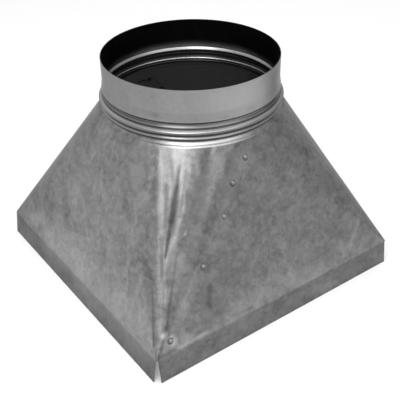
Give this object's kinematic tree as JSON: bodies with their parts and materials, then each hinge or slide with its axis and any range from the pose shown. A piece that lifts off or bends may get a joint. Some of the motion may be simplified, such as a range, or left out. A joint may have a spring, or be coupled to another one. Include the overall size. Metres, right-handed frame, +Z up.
{
  "type": "square-to-round duct transition",
  "caption": "Galvanised sheet-metal duct fitting that tapers from a square end with flared, corner-notched lips to a beaded round collar.",
  "frame": {"origin": "on the axis of the round collar, level with the lower edge of the square end", "axes": "+Z up the axis of the round collar, from the square end to the round end; +X and +Y square to the sides of the square end"},
  "size_m": [0.3088, 0.3088, 0.237],
  "materials": {
    "body_sheet": "galvanised, spangled, satin",
    "collar_sheet": "galvanised, fine spangle, satin"
  },
  "bodies": {
    "root": {"body_half_right": "body_sheet", "body_half_left": "body_sheet", "round_collar": "collar_sheet"}
  },
  "joints": []
}
